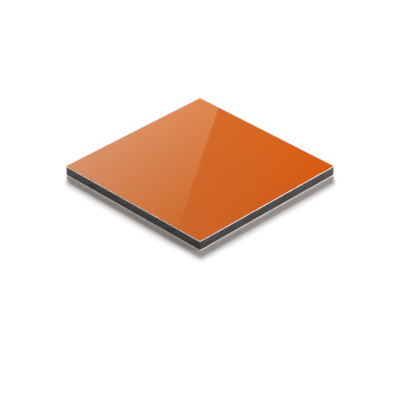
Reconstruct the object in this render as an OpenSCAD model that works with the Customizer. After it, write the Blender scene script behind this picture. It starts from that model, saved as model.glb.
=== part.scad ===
// Aluminium composite panel, cut square as a sample: two thin aluminium skins bonded to a solid plastic core.
// The panel lies flat on its back skin. The origin is the middle of the back, and +Z points out of the coloured face.

/* [Panel] */
// Length of the panel along X
panel_length = 50; // [20:1:300]
// Width of the panel along Y
panel_width = 50; // [20:1:300]
// Thickness over both skins
panel_thickness = 3; // [2:0.5:6]

/* [Skins] */
// Thickness of each aluminium skin, lacquer included
skin_thickness = 0.3; // [0.2:0.05:0.5]
// Width and height of the bevel that deburring leaves on the outer arris of a skin
arris_bevel = 0.06; // [0.02:0.01:0.1]

/* [Corners] */
// Radius that deburring leaves on the four upright corners
corner_radius = 0.15; // [0.15:0.05:1]

/* [Hidden] */
core_thickness = panel_thickness - 2 * skin_thickness;
core_bottom = skin_thickness;
face_bottom = core_bottom + core_thickness;
// Facets drawn round one full circle
round_fn = 48;

// Outline of the panel seen from above: a rectangle whose corners are exact arcs.
module panel_outline() {
    square([panel_length - 2 * corner_radius, panel_width], center = true);
    square([panel_length, panel_width - 2 * corner_radius], center = true);
    at_corners() circle(r = corner_radius, $fn = round_fn);
}

// Puts its child at the centre of each corner's arc.
module at_corners() {
    for (side_x = [-1, 1], side_y = [-1, 1])
        translate([side_x * (panel_length / 2 - corner_radius), side_y * (panel_width / 2 - corner_radius)])
            children();
}

// Right half of a skin's section: flat where it is bonded, at height 0, and bevelled at its outer arris.
module skin_half_section(reach) {
    polygon([
        [0, 0],
        [reach, 0],
        [reach, skin_thickness - arris_bevel],
        [reach - arris_bevel, skin_thickness],
        [0, skin_thickness]
    ]);
}

// Full section of a skin that is span wide, drawn out to a run of the given length along Y.
module skin_run(span, run_length) {
    rotate([90, 0, 0])
        linear_extrude(height = run_length, center = true)
            for (half = [0, 1])
                mirror([half, 0])
                    skin_half_section(span / 2);
}

// One skin with its bonded side down: a run between each pair of edges, and a turned piece in each corner,
// so the bevel goes round the corners in one piece.
module skin() {
    skin_run(panel_length, panel_width - 2 * corner_radius);
    rotate([0, 0, 90])
        skin_run(panel_width, panel_length - 2 * corner_radius);
    at_corners()
        rotate_extrude($fn = round_fn)
            skin_half_section(corner_radius);
}

// Back skin, turned over so that its bevel meets the floor side. It has a pale grey primer.
module back_skin() {
    color("#b9bbbd")
        translate([0, 0, skin_thickness])
            mirror([0, 0, 1])
                skin();
}

// Solid black polyethylene core, sawn flush with both skins.
module core() {
    color("#464646")
        translate([0, 0, core_bottom])
            linear_extrude(height = core_thickness)
                panel_outline();
}

// Face skin, with a high-gloss orange lacquer.
module face_skin() {
    color("#d6611b")
        translate([0, 0, face_bottom])
            skin();
}

back_skin();
core();
face_skin();
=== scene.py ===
# %% [markdown]
# # An aluminium composite panel, dressed for its picture
# The panel is a sandwich: a black plastic core with a thin aluminium skin bonded to each side. The face skin
# has a high-gloss orange lacquer, the back skin a matt primer. A saw has cut all three layers in one pass.
# The CAD model already holds the true sizes, so nothing here is measured by eye. The script loads that model
# as a fixed frame, asks it how big each layer is, and builds finer layers in exactly the same places.

import math

import bpy
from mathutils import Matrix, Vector


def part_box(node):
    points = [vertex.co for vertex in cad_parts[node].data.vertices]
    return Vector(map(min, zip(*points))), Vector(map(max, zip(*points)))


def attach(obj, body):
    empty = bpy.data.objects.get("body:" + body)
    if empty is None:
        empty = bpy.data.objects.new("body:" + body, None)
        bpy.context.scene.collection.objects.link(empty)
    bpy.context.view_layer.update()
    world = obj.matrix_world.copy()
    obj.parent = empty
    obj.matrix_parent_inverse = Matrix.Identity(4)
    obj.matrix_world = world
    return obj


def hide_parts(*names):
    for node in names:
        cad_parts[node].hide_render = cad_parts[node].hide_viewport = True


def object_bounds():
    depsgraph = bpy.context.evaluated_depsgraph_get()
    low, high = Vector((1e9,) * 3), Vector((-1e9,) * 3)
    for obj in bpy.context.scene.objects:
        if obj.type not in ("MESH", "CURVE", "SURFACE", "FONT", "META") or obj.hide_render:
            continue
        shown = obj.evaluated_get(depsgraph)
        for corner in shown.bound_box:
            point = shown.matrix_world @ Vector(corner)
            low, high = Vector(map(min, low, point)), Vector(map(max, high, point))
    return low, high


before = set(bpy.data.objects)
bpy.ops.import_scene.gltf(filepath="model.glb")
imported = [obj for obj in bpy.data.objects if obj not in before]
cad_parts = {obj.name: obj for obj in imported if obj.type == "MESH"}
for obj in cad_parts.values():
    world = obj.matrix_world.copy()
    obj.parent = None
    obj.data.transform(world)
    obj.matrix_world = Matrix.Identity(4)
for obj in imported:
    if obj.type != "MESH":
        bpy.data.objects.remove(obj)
cad_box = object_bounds()
lowest, highest = cad_box
panel_length = highest.x - lowest.x
panel_width = highest.y - lowest.y
face_height = highest.z
MM = 0.001
print(f"panel {panel_length / MM:.1f} by {panel_width / MM:.1f} by {face_height / MM:.1f} mm")

# %% [markdown]
# ## The camera
# The photo looks down on one corner from far away through a long lens, which keeps opposite sides of the
# square nearly parallel. A camera can be matched by eye, or worked out from corners whose places are known.
# Here it was worked out: elevation, turn, distance and lens come from the corners of the square. The camera
# is slid a little against its own up direction, because the panel sits above the middle of the picture.

# %% Camera
camera_elevation = math.radians(33.115)
camera_turn = math.radians(45)
camera_distance = 594.8 * MM
camera_slide = -9.0 * MM

toward_camera = Vector((
    math.sin(camera_turn) * math.cos(camera_elevation),
    -math.cos(camera_turn) * math.cos(camera_elevation),
    math.sin(camera_elevation),
))
camera_right = Vector((math.cos(camera_turn), math.sin(camera_turn), 0))
camera_up = toward_camera.cross(camera_right)
face_centre = Vector((0, 0, face_height))
eye = face_centre + camera_distance * toward_camera + camera_slide * camera_up

camera = bpy.data.objects.new("camera", bpy.data.cameras.new("camera"))
camera.data.sensor_width = 36
camera.data.lens = 202.85
camera.location = eye
camera.rotation_euler = (math.pi / 2 - camera_elevation, 0, camera_turn)
bpy.context.scene.collection.objects.link(camera)
bpy.context.scene.camera = camera
print(f"camera {camera_distance:.3f} m away, looking down {math.degrees(camera_elevation):.1f} degrees")

# %% [markdown]
# ## Writing node trees in a script
# The shapes and the finishes below are all node trees. A tree can be wired by hand in Blender's editor, or
# written in a script, which can name every size and is read from top to bottom. That is the way used here.
# `add_node` places one node and fills or links its inputs. `Number` wraps a socket, so that plus, minus,
# times and divide place Math nodes, and a formula still looks like a formula.

# %% Helpers for node trees
def feed(tree, socket, value):
    """Links value to socket if a node makes it, and otherwise types it into the socket."""
    if isinstance(value, Number):
        value = value.socket
    if isinstance(value, bpy.types.NodeSocket):
        tree.links.new(value, socket)
    else:
        socket.default_value = value


def add_node(tree, kind, inputs=None, **options):
    """Places a node, sets its options, and feeds its inputs, which are found by name or by number."""
    node = tree.nodes.new(kind)
    for option, value in options.items():
        setattr(node, option, value)
    for key, value in (inputs or {}).items():
        feed(tree, node.inputs[key], value)
    return node


class Number:
    """A number that nodes work out for every point of a shape or a surface."""

    def __init__(self, tree, socket):
        self.tree = tree
        self.socket = socket

    def calc(self, operation, *others):
        node = add_node(self.tree, "ShaderNodeMath", dict(enumerate((self, *others))), operation=operation)
        return Number(self.tree, node.outputs[0])

    def __add__(self, other):
        return self.calc("ADD", other)

    def __sub__(self, other):
        return self.calc("SUBTRACT", other)

    def __mul__(self, other):
        return self.calc("MULTIPLY", other)

    def __truediv__(self, other):
        return self.calc("DIVIDE", other)

    def __neg__(self):
        return self.calc("MULTIPLY", -1.0)

    def __rsub__(self, other):
        return -self + other

    __radd__ = __add__
    __rmul__ = __mul__


# %% [markdown]
# ## A few more helpers
# These name the small jobs that several trees share: making a tree with named inputs and outputs, taking a
# vector apart and putting it together, a gentle rise from 0 to 1, and placing one tree inside another.

# %% Helpers that several trees share
def new_tree(name, kind, inputs, outputs):
    """Makes a node group. Inputs are {name: (kind of socket, value)}, outputs are {name: kind of socket}."""
    tree = bpy.data.node_groups.new(name, kind)
    for label, (socket_kind, value) in inputs.items():
        socket = tree.interface.new_socket(label, in_out="INPUT", socket_type="NodeSocket" + socket_kind)
        if value is not None:
            socket.default_value = value
    for label, socket_kind in outputs.items():
        tree.interface.new_socket(label, in_out="OUTPUT", socket_type="NodeSocket" + socket_kind)
    given = tree.nodes.new("NodeGroupInput").outputs
    wanted = tree.nodes.new("NodeGroupOutput").inputs
    return tree, given, wanted


def coordinates(tree, vector):
    """Splits a vector into three numbers."""
    split = add_node(tree, "ShaderNodeSeparateXYZ", {"Vector": vector})
    return [Number(tree, output) for output in split.outputs]


def joined_vector(tree, x, y, z):
    """Puts three numbers together into a vector."""
    return add_node(tree, "ShaderNodeCombineXYZ", {"X": x, "Y": y, "Z": z}).outputs["Vector"]


def eased(tree, value, start, end):
    """Rises from 0 to 1 as value goes from start to end, gently at both ends."""
    node = add_node(tree, "ShaderNodeMapRange", {"Value": value, "From Min": start, "From Max": end},
                    interpolation_type="SMOOTHSTEP")
    return Number(tree, node.outputs["Result"])


def shape_group(tree, group, inputs):
    """Places a geometry tree inside another, and gives its outputs."""
    return add_node(tree, "GeometryNodeGroup", inputs, node_tree=group).outputs


def joined_meshes(tree, *meshes):
    """Puts several meshes together into one."""
    join = tree.nodes.new("GeometryNodeJoinGeometry")
    for mesh in meshes:
        tree.links.new(mesh, join.inputs["Geometry"])
    return join.outputs["Geometry"]


# %% [markdown]
# ## The outline of the cut square
# Seen from above, every layer has the same outline: a rectangle whose corners a file has just touched. It
# could be a bevelled plane. A curve is better here, because the next steps sweep sections along it.
# The fillet gives each corner its own few points, and the straight stretches are then cut into steps as short
# as the saw marks need. Each point asks how far off the next one is, so only long stretches are cut.

# %% Outline tree
def outline_tree():
    tree, given, wanted = new_tree("panel outline", "GeometryNodeTree", {
        "Length": ("Float", 0.05),
        "Width": ("Float", 0.05),
        "Corner Radius": ("Float", 0.00015),
        "Step": ("Float", 0.0001),
    }, {"Curve": "Geometry"})
    corner_points = 6
    sharp = add_node(tree, "GeometryNodeCurvePrimitiveQuadrilateral",
                     {"Width": given["Length"], "Height": given["Width"]})
    filed = add_node(tree, "GeometryNodeFilletCurve",
                     {"Curve": sharp.outputs["Curve"], "Radius": given["Corner Radius"]}, mode="POLY")
    filed.inputs["Count"].default_value = corner_points

    here = tree.nodes.new("GeometryNodeInputPosition").outputs["Position"]
    next_point = add_node(tree, "GeometryNodeOffsetPointInCurve", {"Offset": 1}).outputs["Point Index"]
    there = add_node(tree, "GeometryNodeFieldAtIndex", data_type="FLOAT_VECTOR")
    feed(tree, there.inputs["Value"], here)
    feed(tree, there.inputs["Index"], next_point)
    stretch = add_node(tree, "ShaderNodeVectorMath", {0: here, 1: there.outputs["Value"]},
                       operation="DISTANCE")
    cuts = Number(tree, stretch.outputs["Value"]) / given["Step"]
    stepped = add_node(tree, "GeometryNodeSubdivideCurve",
                       {"Curve": filed.outputs["Curve"], "Cuts": cuts.calc("FLOOR")})
    feed(tree, wanted["Curve"], stepped.outputs["Curve"])
    return tree


panel_outline = outline_tree()
print(f"outline tree with {len(panel_outline.nodes)} nodes")

# %% [markdown]
# ## Walls
# A layer of the panel is a wall all round, closed by a flat below and a flat above. The wall could be
# extruded from a flat, but a section swept along the outline also gives sloping walls, and the bevels need
# them. The section is one straight line, from one inset and height to another. On this outline a section's
# own X points outwards and its Y points down, which is why both are negated.

# %% Wall tree
def wall_tree():
    tree, given, wanted = new_tree("swept wall", "GeometryNodeTree", {
        "Outline": ("Geometry", None),
        "From Inset": ("Float", 0.0),
        "From Height": ("Float", 0.0),
        "To Inset": ("Float", 0.0),
        "To Height": ("Float", 0.0003),
        "Rows": ("Int", 1),
    }, {"Mesh": "Geometry"})
    ends = {}
    for end, name in (("Start", "From"), ("End", "To")):
        inset = Number(tree, given[name + " Inset"])
        height = Number(tree, given[name + " Height"])
        ends[end] = joined_vector(tree, -inset, -height, 0.0)
    section = add_node(tree, "GeometryNodeCurvePrimitiveLine", ends)
    rows = add_node(tree, "GeometryNodeResampleCurve",
                    {"Curve": section.outputs["Curve"], "Count": Number(tree, given["Rows"]) + 1})
    swept = add_node(tree, "GeometryNodeCurveToMesh",
                     {"Curve": given["Outline"], "Profile Curve": rows.outputs["Curve"]})
    feed(tree, wanted["Mesh"], swept.outputs["Mesh"])
    return tree


swept_wall = wall_tree()
print(f"wall tree with {len(swept_wall.nodes)} nodes")

# %% [markdown]
# ## Flats
# A flat is the same outline, moved inwards by its inset, filled, and lifted to its height. A plane scaled to
# fit would do for a plain sheet. Made from the outline, its points land on those of the wall, and the two can
# be welded into one closed skin.

# %% Flat tree
def flat_tree():
    tree, given, wanted = new_tree("flat", "GeometryNodeTree", {
        "Outline": ("Geometry", None),
        "Inset": ("Float", 0.0),
        "Height": ("Float", 0.0),
    }, {"Mesh": "Geometry"})
    outwards = tree.nodes.new("GeometryNodeInputNormal").outputs["Normal"]
    inset = -Number(tree, given["Inset"])
    inwards = add_node(tree, "ShaderNodeVectorMath", {0: outwards, "Scale": inset}, operation="SCALE")
    rim = add_node(tree, "GeometryNodeSetPosition",
                   {"Geometry": given["Outline"], "Offset": inwards.outputs["Vector"]})
    filled = add_node(tree, "GeometryNodeFillCurve", {"Curve": rim.outputs["Geometry"]}, mode="TRIANGLES")
    lifted = add_node(tree, "GeometryNodeSetPosition", {
        "Geometry": filled.outputs["Mesh"],
        "Offset": joined_vector(tree, 0.0, 0.0, given["Height"]),
    })
    feed(tree, wanted["Mesh"], lifted.outputs["Geometry"])
    return tree


flat = flat_tree()
print(f"flat tree with {len(flat.nodes)} nodes")

# %% [markdown]
# ## Faces that point outwards
# Sweeping and filling leave some faces turned inwards, and a mesh that others will use has to face outwards
# all over. Edit mode can recalculate the normals, but Geometry Nodes has no such step. A layer is a plain
# sheet, so a simple test does: a face is the right way round if its normal leads away from the middle.

# %% Outward faces tree
def outward_tree():
    tree, given, wanted = new_tree("outward faces", "GeometryNodeTree", {
        "Mesh": ("Geometry", None),
        "Middle Height": ("Float", 0.0),
    }, {"Mesh": "Geometry"})
    position = tree.nodes.new("GeometryNodeInputPosition").outputs["Position"]
    normal = tree.nodes.new("GeometryNodeInputNormal").outputs["Normal"]
    middle = joined_vector(tree, 0.0, 0.0, given["Middle Height"])
    from_middle = add_node(tree, "ShaderNodeVectorMath", {0: position, 1: middle}, operation="SUBTRACT")
    facing = add_node(tree, "ShaderNodeVectorMath", {0: normal, 1: from_middle.outputs["Vector"]},
                      operation="DOT_PRODUCT")
    turned_inwards = Number(tree, facing.outputs["Value"]).calc("LESS_THAN", 0.0)
    flipped = add_node(tree, "GeometryNodeFlipFaces", {"Mesh": given["Mesh"], "Selection": turned_inwards})
    feed(tree, wanted["Mesh"], flipped.outputs["Mesh"])
    return tree


outward_faces = outward_tree()
print(f"outward faces tree with {len(outward_faces.nodes)} nodes")

# %% [markdown]
# ## The closed skin of one layer
# The two skins and the core are the same thing with other sizes: a sheet with a bonded and an outer side.
# Three trees would repeat each other, so one tree makes all three. A skin's outer edge is bevelled where it
# was deburred, and the outermost part of that bevel cuts through the film of lacquer or primer. The core has
# no bevel, and a Switch leaves it out. Outer Height may lie below Bonded Height, which turns a layer over.

# %% Layer shell tree
def shell_tree():
    tree, given, wanted = new_tree("layer shell", "GeometryNodeTree", {
        "Outline": ("Geometry", None),
        "Bonded Height": ("Float", 0.0027),
        "Outer Height": ("Float", 0.003),
        "Bevel": ("Float", 0.00006),
        "Film": ("Float", 0.00003),
        "Rows": ("Int", 3),
    }, {"Mesh": "Geometry", "In Film": "Bool"})
    bonded = Number(tree, given["Bonded Height"])
    outer = Number(tree, given["Outer Height"])
    bevel = Number(tree, given["Bevel"])
    film = Number(tree, given["Film"])
    outwards = (outer - bonded).calc("SIGN")
    bevel_start = outer - outwards * bevel
    film_start = outer - outwards * film

    def wall(from_inset, from_height, to_inset, to_height, rows=1):
        return shape_group(tree, swept_wall, {
            "Outline": given["Outline"],
            "From Inset": from_inset,
            "From Height": from_height,
            "To Inset": to_inset,
            "To Height": to_height,
            "Rows": rows,
        })["Mesh"]

    def level(inset, height):
        places = {"Outline": given["Outline"], "Inset": inset, "Height": height}
        return shape_group(tree, flat, places)["Mesh"]

    bare_bevel = wall(0.0, bevel_start, bevel - film, film_start)
    film_bevel = wall(bevel - film, film_start, bevel, outer)
    bevels = add_node(tree, "GeometryNodeSwitch", {
        "Switch": bevel.calc("GREATER_THAN", 0.0),
        "True": joined_meshes(tree, bare_bevel, film_bevel),
    })
    upright = wall(0.0, bonded, 0.0, bevel_start, given["Rows"])
    parts = joined_meshes(tree, upright, level(0.0, bonded), level(bevel, outer), bevels.outputs["Output"])
    weld_distance = 0.001 * MM
    welded = add_node(tree, "GeometryNodeMergeByDistance", {"Geometry": parts, "Distance": weld_distance})
    closed = shape_group(tree, outward_faces, {
        "Mesh": welded.outputs["Geometry"],
        "Middle Height": (bonded + outer) * 0.5,
    })
    feed(tree, wanted["Mesh"], closed["Mesh"])

    height = coordinates(tree, tree.nodes.new("GeometryNodeInputPosition").outputs["Position"])[2]
    feed(tree, wanted["In Film"], ((height - film_start) * outwards).calc("GREATER_THAN", 0.0))
    return tree


layer_shell = shell_tree()
print(f"layer shell tree with {len(layer_shell.nodes)} nodes")

# %% [markdown]
# ## The marks of the saw
# A circular saw leaves arcs of its own radius across the edge. The sheet is so thin that each arc shows only
# as a slanting line. The marks could be a bump texture, but they catch the light, so here they are real: each
# point of the wall moves inwards by the depth of its mark. Points on one arc share one number, the
# distance `across` the marks, and a noise that reads only that number gives all of them the same depth.
# Each side has its own stretch of noise, and the marks fade out at the filed corners.

# %% Saw mark tree
def saw_mark_tree():
    tree, given, wanted = new_tree("saw marks", "GeometryNodeTree", {
        "Length": ("Float", 0.05),
        "Width": ("Float", 0.05),
        "Corner Radius": ("Float", 0.00015),
        "Blade Radius": ("Float", 0.125),
        "Slant": ("Float", 0.5),
        "Spacing": ("Float", 0.001),
        "Depth": ("Float", 0.00002),
        "Seed": ("Int", 0),
    }, {"Offset": "Vector", "Across": "Float"})
    x, y, z = coordinates(tree, tree.nodes.new("GeometryNodeInputPosition").outputs["Position"])
    half_length = Number(tree, given["Length"]) * 0.5
    half_width = Number(tree, given["Width"]) * 0.5
    x_sign = x.calc("SIGN")
    y_sign = y.calc("SIGN")
    x_share = x.calc("ABSOLUTE") / half_length
    on_x_side = x_share.calc("GREATER_THAN", y.calc("ABSOLUTE") / half_width)
    on_y_side = 1.0 - on_x_side

    along = on_x_side * x_sign * y - on_y_side * y_sign * x
    to_corner = on_x_side * half_width + on_y_side * half_length - along.calc("ABSOLUTE")
    fade = eased(tree, to_corner, given["Corner Radius"], Number(tree, given["Corner Radius"]) * 4)

    blade = Number(tree, given["Blade Radius"])
    above_axle = z + blade * Number(tree, given["Slant"]).calc("COSINE")
    arc = (blade * blade - above_axle * above_axle).calc("SQRT")
    side = on_x_side * (x_sign + 1) + on_y_side * (y_sign + 4)
    across = along + arc + side * given["Length"] * 3

    turns = across / given["Spacing"] + given["Seed"]
    broad = add_node(tree, "ShaderNodeTexNoise", {"W": turns, "Scale": 1.0, "Detail": 1.0},
                     noise_dimensions="1D")
    fine = add_node(tree, "ShaderNodeTexNoise", {"W": turns, "Scale": 3.4, "Detail": 0.0},
                    noise_dimensions="1D")
    mark = Number(tree, broad.outputs["Fac"]) * 0.6 + Number(tree, fine.outputs["Fac"]) * 0.4
    inwards = -(mark * given["Depth"] * fade)
    offset = joined_vector(tree, inwards * on_x_side * x_sign, inwards * on_y_side * y_sign, 0.0)
    feed(tree, wanted["Offset"], offset)
    feed(tree, wanted["Across"], across)
    return tree


saw_marks = saw_mark_tree()
print(f"saw mark tree with {len(saw_marks.nodes)} nodes")

# %% [markdown]
# ## Round corners, crisp edges
# The filed corners are a few flat strips that have to look round, while the edges of the cut have to stay
# crisp. Flat shading would lose the one, and smooth shading the other. So all faces are shaded smooth, and
# each edge where two faces meet at a sharp enough angle is marked as crisp.

# %% Crisp edges tree
def crisp_tree():
    tree, given, wanted = new_tree("crisp edges", "GeometryNodeTree", {
        "Mesh": ("Geometry", None),
        "Angle": ("Float", 0.5),
    }, {"Mesh": "Geometry"})
    smooth = add_node(tree, "GeometryNodeSetShadeSmooth", {"Geometry": given["Mesh"]})
    angle = Number(tree, tree.nodes.new("GeometryNodeInputMeshEdgeAngle").outputs["Unsigned Angle"])
    crisp = add_node(tree, "GeometryNodeSetShadeSmooth", {
        "Geometry": smooth.outputs["Geometry"],
        "Selection": angle.calc("GREATER_THAN", given["Angle"]),
        "Shade Smooth": False,
    }, domain="EDGE")
    feed(tree, wanted["Mesh"], crisp.outputs["Geometry"])
    return tree


crisp_edges = crisp_tree()
print(f"crisp edges tree with {len(crisp_edges.nodes)} nodes")

# %% [markdown]
# ## One sawn layer
# The last tree puts the others together: outline, closed skin, saw marks, crisp edges. It could be one big
# tree, but small ones can be read and tested one by one. Before it moves the points it stores `across` on
# each of them, so that the materials can lay their streaks along the same arcs. The cut gets one material
# and the film the other.

# %% Sawn layer tree
def layer_tree():
    tree, given, wanted = new_tree("sawn layer", "GeometryNodeTree", {
        "Geometry": ("Geometry", None),
        "Length": ("Float", 0.05),
        "Width": ("Float", 0.05),
        "Corner Radius": ("Float", 0.00015),
        "Step": ("Float", 0.0001),
        "Bonded Height": ("Float", 0.0027),
        "Outer Height": ("Float", 0.003),
        "Bevel": ("Float", 0.00006),
        "Film": ("Float", 0.00003),
        "Rows": ("Int", 3),
        "Blade Radius": ("Float", 0.125),
        "Slant": ("Float", 0.5),
        "Spacing": ("Float", 0.001),
        "Depth": ("Float", 0.00002),
        "Seed": ("Int", 0),
        "Cut Material": ("Material", None),
        "Film Material": ("Material", None),
    }, {"Geometry": "Geometry"})

    def given_for(*names):
        return {name: given[name] for name in names}

    outline = shape_group(tree, panel_outline, given_for("Length", "Width", "Corner Radius", "Step"))["Curve"]
    shell = shape_group(tree, layer_shell, {
        "Outline": outline,
        **given_for("Bonded Height", "Outer Height", "Bevel", "Film", "Rows"),
    })
    marks = shape_group(tree, saw_marks, given_for("Length", "Width", "Corner Radius", "Blade Radius",
                                                   "Slant", "Spacing", "Depth", "Seed"))
    noted = add_node(tree, "GeometryNodeStoreNamedAttribute", {
        "Geometry": shell["Mesh"],
        "Name": "across_mm",
        "Value": Number(tree, marks["Across"]) / MM,
    })
    sawn = add_node(tree, "GeometryNodeSetPosition",
                    {"Geometry": noted.outputs["Geometry"], "Offset": marks["Offset"]})

    crisp = shape_group(tree, crisp_edges, {"Mesh": sawn.outputs["Geometry"], "Angle": math.radians(30)})
    real = add_node(tree, "GeometryNodeRealizeInstances", {"Geometry": crisp["Mesh"]})
    cut_done = add_node(tree, "GeometryNodeSetMaterial",
                        {"Geometry": real.outputs["Geometry"], "Material": given["Cut Material"]})
    film_done = add_node(tree, "GeometryNodeSetMaterial", {
        "Geometry": cut_done.outputs["Geometry"],
        "Selection": shell["In Film"],
        "Material": given["Film Material"],
    })
    feed(tree, wanted["Geometry"], film_done.outputs["Geometry"])
    return tree


sawn_layer = layer_tree()
print(f"sawn layer tree with {len(sawn_layer.nodes)} nodes")

# %% [markdown]
# ## Streaks that the saw leaves
# The saw scores plastic and metal alike. The streaks could be wired into both materials. As a shader node
# group they are made once, and placed with each material's own values. They read the number that the layer
# tree stored, so they follow the modelled marks. The group gives out masks only, and the shaders stay in the
# materials. Run is how far a streak goes down the edge before it changes.

# %% Saw streaks
def saw_streak_group():
    tree, given, wanted = new_tree("saw streaks", "ShaderNodeTree", {
        "Spacing": ("Float", 0.5),
        "Run": ("Float", 3.0),
        "Sharpness": ("Float", 0.2),
    }, {"Streaks": "Float", "Scratches": "Float"})
    across = Number(tree, add_node(tree, "ShaderNodeAttribute", attribute_name="across_mm").outputs["Fac"])
    place = tree.nodes.new("ShaderNodeTexCoord").outputs["Object"]
    height = coordinates(tree, place)[2] / MM
    drift = joined_vector(tree, across / given["Spacing"], height / given["Run"], 0.0)
    broad = add_node(tree, "ShaderNodeTexNoise",
                     {"Vector": drift, "Scale": 1.0, "Detail": 3.0, "Roughness": 0.6}, noise_dimensions="2D")
    fine = add_node(tree, "ShaderNodeTexNoise",
                    {"Vector": drift, "Scale": 7.0, "Detail": 2.0, "Roughness": 0.7}, noise_dimensions="2D")
    spread = Number(tree, given["Sharpness"])
    feed(tree, wanted["Streaks"], eased(tree, broad.outputs["Fac"], 0.5 - spread, 0.5 + spread))
    feed(tree, wanted["Scratches"], fine.outputs["Fac"])
    return tree


saw_streaks = saw_streak_group()
print(f"saw streaks with {len(saw_streaks.nodes)} nodes")

# %% [markdown]
# ## The skin of a coil-coated film
# Lacquer and primer are rolled on and baked. That leaves three faint things: a fine peel, a broad mottle, and
# lines along the rolling direction, which is X here. An image could hold them, but it would stretch or
# repeat. Noise read in Object coordinates keeps its true size everywhere.

# %% Coated film
def film_group():
    tree, given, wanted = new_tree("coated film", "ShaderNodeTree", {
        "Peel Size": ("Float", 1.2),
        "Mottle Size": ("Float", 14.0),
        "Roll Spacing": ("Float", 0.6),
    }, {"Peel": "Float", "Mottle": "Float", "Roll": "Float"})
    place = tree.nodes.new("ShaderNodeTexCoord").outputs["Object"]
    in_mm = add_node(tree, "ShaderNodeVectorMath", {0: place, "Scale": 1 / MM}, operation="SCALE")
    for name, detail in (("Peel", 1.0), ("Mottle", 3.0)):
        scale = Number(tree, given[name + " Size"]).calc("POWER", -1.0)
        noise = add_node(tree, "ShaderNodeTexNoise",
                         {"Vector": in_mm.outputs["Vector"], "Scale": scale, "Detail": detail})
        feed(tree, wanted[name], noise.outputs["Fac"])
    x, y = coordinates(tree, in_mm.outputs["Vector"])[:2]
    stretched = joined_vector(tree, x * 0.02, y / given["Roll Spacing"], 0.0)
    roll = add_node(tree, "ShaderNodeTexNoise",
                    {"Vector": stretched, "Scale": 1.0, "Detail": 4.0, "Roughness": 0.65},
                    noise_dimensions="2D")
    feed(tree, wanted["Roll"], roll.outputs["Fac"])
    return tree


coated_film = film_group()
print(f"coated film with {len(coated_film.nodes)} nodes")

# %% [markdown]
# ## Helpers for materials
# Each material below has one Principled shader. These helpers place a shared effect in it, turn a mask into a
# colour between two others, and turn a height into a bump.

# %% Material helpers
def new_material(name):
    """A material with a Principled shader. Gives the material, its node tree and the shader."""
    material = bpy.data.materials.new(name)
    material.use_nodes = True
    tree = material.node_tree
    return material, tree, tree.nodes["Principled BSDF"]


def effect(tree, group, inputs):
    """Places a shared effect with this material's own values."""
    outputs = add_node(tree, "ShaderNodeGroup", inputs, node_tree=group).outputs
    return {output.name: Number(tree, output) for output in outputs}


def blend_colours(tree, mask, dark, light):
    """The colour that runs from dark to light as the mask goes from 0 to 1."""
    mix = add_node(tree, "ShaderNodeMix", {"Factor": mask}, data_type="RGBA")
    first, second = [socket for socket in mix.inputs if socket.type == "RGBA"]
    first.default_value = (*dark, 1)
    second.default_value = (*light, 1)
    return [socket for socket in mix.outputs if socket.type == "RGBA"][0]


def bump(tree, height, distance):
    """A normal that tilts as if the surface rose by distance where the height is 1."""
    return add_node(tree, "ShaderNodeBump", {"Height": height, "Distance": distance}).outputs["Normal"]


# %% [markdown]
# ## High-gloss orange lacquer
# The face is coil coated: a solid orange paint, levelled so well that it mirrors the room. Orange plastic
# with a clear coat over it would look much the same, but real lacquer is one film, so one glossy shader is
# truer: the pigment shows through the film, and the film's own surface mirrors. The roughness is very low.
# The peel is a fraction of a micrometre high, and it only just stirs the mirrored edges.

# %% Orange lacquer
def orange_lacquer():
    material, tree, shader = new_material("orange lacquer")
    film = effect(tree, coated_film, {"Peel Size": 1.6, "Mottle Size": 18.0, "Roll Spacing": 0.9})
    deep_orange = (0.468, 0.0715, 0.0018)
    light_orange = (0.486, 0.0755, 0.0022)
    feed(tree, shader.inputs["Base Color"], blend_colours(tree, film["Mottle"], deep_orange, light_orange))
    feed(tree, shader.inputs["Roughness"], 0.004 + film["Roll"] * 0.008)
    feed(tree, shader.inputs["Normal"], bump(tree, film["Peel"], 0.00015 * MM))
    shader.inputs["IOR"].default_value = 1.5
    return material


lacquer = orange_lacquer()
print(f"{lacquer.name} with {len(lacquer.node_tree.nodes)} nodes")

# %% [markdown]
# ## Bare aluminium on the cut edge
# The saw opens the skins and shows the metal: bright, a little soft, with the scores of the teeth. A
# chrome-smooth metal would go black and white with whatever stands beside it, so the roughness is set high
# enough to blend the floor and the room. The streaks change the tone, and the scratches the roughness.

# %% Bare aluminium
def bare_aluminium():
    material, tree, shader = new_material("bare aluminium")
    saw = effect(tree, saw_streaks, {"Spacing": 0.45, "Run": 2.0, "Sharpness": 0.22})
    dull_metal = (0.55, 0.546, 0.53)
    bright_metal = (0.766, 0.76, 0.738)
    feed(tree, shader.inputs["Base Color"], blend_colours(tree, saw["Streaks"], dull_metal, bright_metal))
    feed(tree, shader.inputs["Roughness"], 0.55 + saw["Scratches"] * 0.2)
    feed(tree, shader.inputs["Normal"], bump(tree, saw["Scratches"], 0.004 * MM))
    shader.inputs["Metallic"].default_value = 1.0
    return material


aluminium = bare_aluminium()
print(f"{aluminium.name} with {len(aluminium.node_tree.nodes)} nodes")

# %% [markdown]
# ## Sawn black core
# The core is black polyethylene. Sawn plastic is never a clean black: the teeth tear it, and the torn fibres
# scatter light, so it reads as dark grey with paler streaks along the marks. One grey with a strong bump
# would stay too even, so the base is nearly black and the streaks lift it.

# %% Black core
def black_core():
    material, tree, shader = new_material("black core")
    saw = effect(tree, saw_streaks, {"Spacing": 1.0, "Run": 5.0, "Sharpness": 0.16})
    smooth_black = (0.006, 0.006, 0.006)
    torn_grey = (0.037, 0.037, 0.037)
    feed(tree, shader.inputs["Base Color"], blend_colours(tree, saw["Streaks"], smooth_black, torn_grey))
    feed(tree, shader.inputs["Roughness"], 0.5 + saw["Scratches"] * 0.25)
    feed(tree, shader.inputs["Normal"], bump(tree, saw["Scratches"], 0.008 * MM))
    shader.inputs["IOR"].default_value = 1.5
    return material


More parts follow.
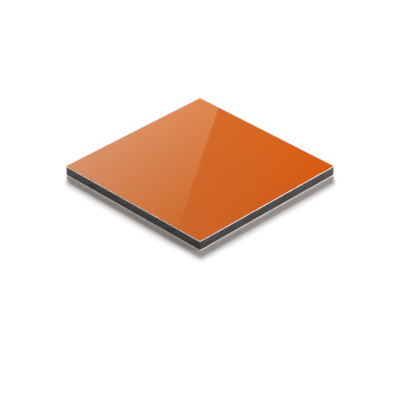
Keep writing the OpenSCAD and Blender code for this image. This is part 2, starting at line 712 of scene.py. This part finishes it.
plastic = black_core()
print(f"{plastic.name} with {len(plastic.node_tree.nodes)} nodes")

# %% [markdown]
# ## Back primer
# The back is only meant to be bonded, so it has a thin matt primer. A plain grey would hide that it is rolled
# metal. The primer is so thin that the rolling lines show through, and they change both tone and roughness.

# %% Back primer
def back_primer():
    material, tree, shader = new_material("back primer")
    film = effect(tree, coated_film, {"Peel Size": 0.5, "Mottle Size": 9.0, "Roll Spacing": 0.35})
    grey = (0.47, 0.48, 0.49)
    pale_grey = (0.53, 0.54, 0.55)
    mask = film["Mottle"] * 0.5 + film["Roll"] * 0.5
    feed(tree, shader.inputs["Base Color"], blend_colours(tree, mask, grey, pale_grey))
    feed(tree, shader.inputs["Roughness"], 0.5 + film["Roll"] * 0.2)
    feed(tree, shader.inputs["Normal"], bump(tree, film["Peel"], 0.002 * MM))
    return material


primer = back_primer()
print(f"{primer.name} with {len(primer.node_tree.nodes)} nodes")

# %% [markdown]
# ## Running the tree
# A tree works as a modifier on an object. A modifier could stay live, but a finished mesh is safer to hand
# on: it looks the same everywhere. So the tree runs on an empty mesh, with each input set by its socket's
# identifier, the result is taken from the evaluated object, and the modifier goes. Set Material leaves an
# empty first slot for faces without a material. There are none, so that slot goes too.

# %% Layer builder
def build_layer(name, sizes):
    """Runs the layer tree with these sizes, and keeps the result as a plain mesh."""
    blank = bpy.data.objects.new(name + "_blank", bpy.data.meshes.new(name + "_blank"))
    bpy.context.scene.collection.objects.link(blank)
    modifier = blank.modifiers.new("layer", "NODES")
    modifier.node_group = sawn_layer
    for item in sawn_layer.interface.items_tree:
        if item.in_out == "INPUT" and item.name in sizes:
            modifier[item.identifier] = sizes[item.name]
    graph = bpy.context.evaluated_depsgraph_get()
    mesh = bpy.data.meshes.new_from_object(blank.evaluated_get(graph), preserve_all_data_layers=True,
                                           depsgraph=graph)
    blank.modifiers.remove(modifier)
    bpy.data.objects.remove(blank)
    if mesh.materials[0] is None:
        mesh.materials.pop(index=0)
    piece = bpy.data.objects.new(name, mesh)
    bpy.context.scene.collection.objects.link(piece)
    mesh.calc_loop_triangles()
    print(f"{name}: {len(mesh.vertices)} points, {len(mesh.loop_triangles)} triangles")
    return piece


# %% [markdown]
# ## The three layers
# Each layer takes its heights from its own CAD node, so the new meshes lie exactly where the frame has them.
# The cut runs through the whole sandwich, so all layers share one seed: a mark that starts in the face skin
# goes on through the core. Plastic is softer than metal, and its marks are deeper.

# %% Build the layers
cut = {
    "Length": panel_length,
    "Width": panel_width,
    "Corner Radius": 0.15 * MM,
    "Step": 0.1 * MM,
    "Blade Radius": 125 * MM,
    "Slant": math.radians(30),
    "Spacing": 1.1 * MM,
    "Seed": 7,
}
skin_cut = {**cut, "Bevel": 0.06 * MM, "Rows": 3, "Depth": 0.015 * MM, "Cut Material": aluminium}
core_cut = {**cut, "Bevel": 0.0, "Rows": 20, "Depth": 0.04 * MM, "Cut Material": plastic}


def heights(node, outer_is_top=True):
    """The bonded and the outer height of a layer, from its CAD node."""
    bottom, top = (corner.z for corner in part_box(node))
    if outer_is_top:
        return {"Bonded Height": bottom, "Outer Height": top}
    return {"Bonded Height": top, "Outer Height": bottom}


face_sheet = build_layer("face_sheet", {
    **skin_cut,
    **heights("face_skin"),
    "Film": 0.05 * MM,
    "Film Material": lacquer,
})
core_block = build_layer("core_block", {
    **core_cut,
    **heights("core"),
    "Film": 0.0,
    "Film Material": plastic,
})
back_sheet = build_layer("back_sheet", {
    **skin_cut,
    **heights("back_skin", outer_is_top=False),
    "Film": 0.01 * MM,
    "Film Material": primer,
})

# %% [markdown]
# ## Tying the layers to the model
# Nothing in the panel moves, so all three layers ride on its one body. Each stands for one CAD node, which is
# hidden.

# %% Body, node and slot of each layer
for piece, node, slot in ((face_sheet, "face_skin", "orange_lacquer"),
                          (core_block, "core", "black_core"),
                          (back_sheet, "back_skin", "back_primer")):
    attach(piece, "root")
    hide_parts(node)
    print(f"{piece.name} stands for {node}, slot {slot}")

# %% [markdown]
# ## The floor
# The panel lies on a plain white floor that runs out of sight. It could be a curved backdrop, but with a
# white room behind it a flat sheet has no visible end, and no bend for the gloss face to mirror. It has no
# sheen, because that would show its far part as a grey band in low views.

# %% Floor
def white_floor(side):
    """A square sheet at floor height, centred under the panel."""
    material, tree, shader = new_material("white floor")
    shader.inputs["Base Color"].default_value = (0.97, 0.97, 0.97, 1)
    shader.inputs["Specular IOR Level"].default_value = 0.0
    half = side / 2
    corners = [(-half, -half, 0), (half, -half, 0), (half, half, 0), (-half, half, 0)]
    mesh = bpy.data.meshes.new("floor")
    mesh.from_pydata(corners, [], [(0, 1, 2, 3)])
    mesh.materials.append(material)
    sheet = bpy.data.objects.new("floor", mesh)
    bpy.context.scene.collection.objects.link(sheet)
    return sheet


floor = white_floor(8.0)
print(f"floor {floor.dimensions.x:.0f} m square")

# %% [markdown]
# ## Soft light
# Most of the light comes from far behind the panel, so that a soft shadow falls forward under both front
# edges, and the pale line of the back skin shows against it. A near box makes the far side of the face a
# little brighter, as in the photo. Two low boxes in front light the cut edges without washing out the
# shadow, and the right one is stronger. They stand towards the outer ends of the edges, which fade a little
# on the way to the front corner. All of it could be one big lamp, but then the edges would stay dark.
# In a studio, a flag keeps the near box off the floor, which would turn too bright just behind the panel.
# Light linking does that here: the box lights only what is in its collection.
# The back light is slightly cool and the room further down slightly warm. Together they are white, but the
# shadow gets the room alone, and so it is a little warm, as in the photo.

# %% Lights
def toward(turn, elevation):
    """The direction with this turn, counted from +X towards +Y, and this elevation, both in degrees."""
    level_part = math.cos(math.radians(elevation))
    return Vector((
        math.cos(math.radians(turn)) * level_part,
        math.sin(math.radians(turn)) * level_part,
        math.sin(math.radians(elevation)),
    ))


def add_lamp(light, direction, distance, mirrored):
    """Hangs the light in this direction, shining at the panel, out of the camera's sight."""
    lamp = bpy.data.objects.new(light.name, light)
    lamp.location = direction * distance
    lamp.rotation_euler = direction.to_track_quat("Z", "Y").to_euler()
    lamp.visible_camera = False
    lamp.visible_glossy = mirrored
    bpy.context.scene.collection.objects.link(lamp)
    print(f"{light.name} {distance:.2f} m away")
    return lamp


def far_light(name, turn, elevation, spread, strength, tint, mirrored):
    """A light so far away that it is as strong all over the floor. Spread is the angle that it fills."""
    light = bpy.data.lights.new(name, "SUN")
    light.angle = math.radians(spread)
    light.energy = strength
    light.color = tint
    return add_lamp(light, toward(turn, elevation), 1.0, mirrored)


def soft_box(name, turn, elevation, distance, side, power, mirrored):
    """A square light near the panel."""
    light = bpy.data.lights.new(name, "AREA")
    light.shape = "SQUARE"
    light.size = side
    light.energy = power
    return add_lamp(light, toward(turn, elevation), distance, mirrored)


cool_white = (1.0, 1.043, 1.058)
far_light("back_light", turn=138, elevation=34, spread=26, strength=4.35, tint=cool_white, mirrored=False)
near_box = soft_box("near_box", turn=90, elevation=40, distance=0.15, side=0.06, power=0.11, mirrored=False)
soft_box("right_box", turn=20, elevation=5, distance=0.2, side=0.03, power=0.25, mirrored=True)
soft_box("left_box", turn=-117, elevation=5, distance=0.15, side=0.02, power=0.057, mirrored=True)

flagged = bpy.data.collections.new("lit by the near box")
for piece in (face_sheet, core_block, back_sheet):
    flagged.objects.link(piece)
near_box.light_linking.receiver_collection = flagged

# %% [markdown]
# ## What the gloss face mirrors
# A gloss surface shows its surroundings, so a studio for gloss sheets is full of pale cards and strips of
# light. The ones here shine for the gloss only: they don't light the floor, and the camera doesn't show them.
# An image could be wrapped round the scene instead, but sheets can be placed exactly. Each has a UV map, and
# its colour is worked out from it, so a card can fade from one side to the other.

# %% Glowing sheets
def glowing_sheet(name, points, faces, places, material):
    """A sheet of light that is seen only in reflections. Places are the U and V of its points."""
    mesh = bpy.data.meshes.new(name)
    mesh.from_pydata(points, [], faces)
    layer = mesh.uv_layers.new(name="place")
    for loop in mesh.loops:
        layer.data[loop.index].uv = places[loop.vertex_index]
    mesh.materials.append(material)
    sheet = bpy.data.objects.new(name, mesh)
    bpy.context.scene.collection.objects.link(sheet)
    sheet.visible_camera = False
    sheet.visible_diffuse = False
    sheet.visible_shadow = False
    print(f"{name}: {len(faces)} faces")
    return sheet


def glow(name, colour_at):
    """A material that only shines. colour_at works out red, green and blue from U and V."""
    material = bpy.data.materials.new(name)
    material.use_nodes = True
    tree = material.node_tree
    tree.nodes.clear()
    place = add_node(tree, "ShaderNodeUVMap", uv_map="place").outputs["UV"]
    u, v = coordinates(tree, place)[:2]
    channels = dict(zip(("Red", "Green", "Blue"), colour_at(u, v)))
    colour = add_node(tree, "ShaderNodeCombineColor", channels).outputs["Color"]
    shine = add_node(tree, "ShaderNodeEmission", {"Color": colour, "Strength": 1.0})
    output = tree.nodes.new("ShaderNodeOutputMaterial")
    tree.links.new(shine.outputs["Emission"], output.inputs["Surface"])
    return material


# %% [markdown]
# ## Two cards for the photo's view
# The photo shows a dim room with one bright card, whose straight edge crosses the face. A card could be
# placed by trial. It is quicker to follow a line of sight from the camera to a point of the face and up
# again, as a mirror sends it, to where it meets the plane of the card. Doing so for a net of points gives a
# card whose every part belongs to a part of the face, so U and V can be places on the face, with 1 at its
# edge. One card is dim and covers the whole face. The other stands just before it and ends at the edge of
# the gleam.

# %% Mirror cards
card_distance = 250 * MM
card_gap = 5 * MM
card_reach = 1.5 * panel_length / 2
gleam_back = Vector((-17.5, 24.7)) * MM
gleam_front = Vector((16.7, -24.4)) * MM


def mirrored_place(x, y, distance):
    """The place, on an upright plane behind the panel, that the face mirrors at (x, y)."""
    away = Vector((-math.sin(camera_turn), math.cos(camera_turn), 0))
    spot = Vector((x, y, face_height))
    ray = spot - eye
    ray.z = -ray.z
    return spot + ray * ((distance - spot.dot(away)) / ray.dot(away))


def haze_edge(y):
    """The dim card goes on past the right side of the face."""
    return card_reach


def gleam_edge(y):
    """Where the bright card's edge lies on the face, as x for a given y."""
    share = (y - gleam_back.y) / (gleam_front.y - gleam_back.y)
    return gleam_back.x + share * (gleam_front.x - gleam_back.x)


def card(name, distance, right_edge, material):
    """A card that the face mirrors from beyond its left side to right_edge, which is an x for each y."""
    points, places, faces = [], [], []
    half = panel_length / 2
    cells = 16
    for row in range(cells + 1):
        y = card_reach * (2 * row / cells - 1)
        for column in range(cells + 1):
            x = -card_reach + (right_edge(y) + card_reach) * column / cells
            points.append(mirrored_place(x, y, distance))
            places.append((x / half, y / half))
    for row in range(cells):
        for column in range(cells):
            start = row * (cells + 1) + column
            faces.append((start, start + 1, start + cells + 2, start + cells + 1))
    return glowing_sheet(name, points, faces, places, material)


# %% [markdown]
# ## How the two cards fade
# On the face, the haze of the dim card is strongest at the left corner and weakest at the right one. The
# gleam is strong all along the back left side, and fades towards the front right. It is also cooler where it
# is strong. One even card would be simpler, but the photo's fade is what makes the gloss look real. Both
# fades are plain formulas of U and V, which are places on the face, and each colour has its own slopes.

# %% Haze and gleam
haze_tint = (0.35, 0.60, 0.262)
haze_fall_along_x = (0.14, 0.53, 0.53)
haze_fall_along_y = (0.25, 0.40, 0.47)
front_tint = (0.74, 1.10, 0.35)
back_tint = (0.91, 1.26, 1.01)
gleam_fall_along_y = (0.14, 0.08, 0.27)


def haze_colour(x, y):
    """Dim light that falls off towards the right-hand corner."""
    return [(1.0 - x * x_fall - y * y_fall).calc("MAXIMUM", 0.0) * tint
            for tint, x_fall, y_fall in zip(haze_tint, haze_fall_along_x, haze_fall_along_y)]


def gleam_colour(x, y):
    """The haze and, over it, light that is brightest at the back left and gone at the front right."""
    back_share = ((1.0 - x) * 0.5).calc("MAXIMUM", 0.0)
    colours = []
    for haze, front, back, y_fall in zip(haze_colour(x, y), front_tint, back_tint, gleam_fall_along_y):
        gleam = back_share * (back_share * (back - front) + front)
        colours.append(haze + gleam * (1.0 - y * y_fall))
    return colours


card("haze_card", card_distance + card_gap, haze_edge, glow("haze", haze_colour))
card("gleam_card", card_distance, gleam_edge, glow("gleam", gleam_colour))

# %% [markdown]
# ## Strips for every other side
# Seen from anywhere else, the face would mirror only an even room, and a gloss sheet in an even room looks
# matt. So strips of light stand in a ring round the panel, each leaning a little, and one sheet hangs above.
# The strips stand evenly, with an edge opposite each side and each corner, so that most views catch one.

# %% Light strips
strip_tint = (1.0, 0.95, 0.60)


def strip_colour(across, up):
    """Bright at the top, and dimmer towards the floor, where a gloss face mirrors more strongly."""
    strength = up * 0.4 + 0.55
    return [strength * tint for tint in strip_tint]


def strip_ring(name, strips, radius, height, start, lean, material):
    """Strips as wide as the gaps between them. Start and lean are turns in degrees."""
    points, places, faces = [], [], []
    pitch = 360 / strips
    for strip in range(strips):
        first = len(points)
        for across, up in ((0, 0), (1, 0), (1, 1), (0, 1)):
            turn = start + pitch * (strip + across / 2) + lean * up
            points.append(toward(turn, 0) * radius + Vector((0, 0, height * up)))
            places.append((across, up))
        faces.append(tuple(range(first, first + 4)))
    return glowing_sheet(name, points, faces, places, material)


strip_glow = glow("strip", strip_colour)
strip_ring("strip_lights", strips=16, radius=0.9, height=0.9, start=-5.5, lean=10, material=strip_glow)

overhead = Vector((0, 0, 1.0))
roof_half = Vector((0.6, 0.3, 0))
roof_depth = Vector((-0.3, 0.6, 0))
near_side = [overhead - roof_half, overhead + roof_half]
far_side = [corner + roof_depth for corner in reversed(near_side)]
roof_places = [(0, 1), (1, 1), (1, 1), (0, 1)]
glowing_sheet("roof_light", near_side + far_side, [(0, 1, 2, 3)], roof_places, strip_glow)

# %% [markdown]
# ## The room
# Where the camera looks past the floor it has to see white, but a room that bright would wash out the shadow
# and the face. Light Path tells the two apart: the camera gets white, and everything else a dim, even and
# slightly warm light.

# %% Room
def white_room(dim_light):
    """Pure white to the camera, and the colour dim_light to everything else."""
    world = bpy.data.worlds.new("room")
    world.use_nodes = True
    tree = world.node_tree
    tree.nodes.clear()
    seen = tree.nodes.new("ShaderNodeLightPath").outputs["Is Camera Ray"]
    colour = blend_colours(tree, seen, dim_light, (1, 1, 1))
    even_light = add_node(tree, "ShaderNodeBackground", {"Color": colour, "Strength": 1.0})
    output = tree.nodes.new("ShaderNodeOutputWorld")
    tree.links.new(even_light.outputs["Background"], output.inputs["Surface"])
    return world


bpy.context.scene.world = white_room(dim_light=(0.25, 0.217, 0.205))
bpy.context.scene.view_settings.view_transform = "Standard"
print("room is white to the camera only, view transform", bpy.context.scene.view_settings.view_transform)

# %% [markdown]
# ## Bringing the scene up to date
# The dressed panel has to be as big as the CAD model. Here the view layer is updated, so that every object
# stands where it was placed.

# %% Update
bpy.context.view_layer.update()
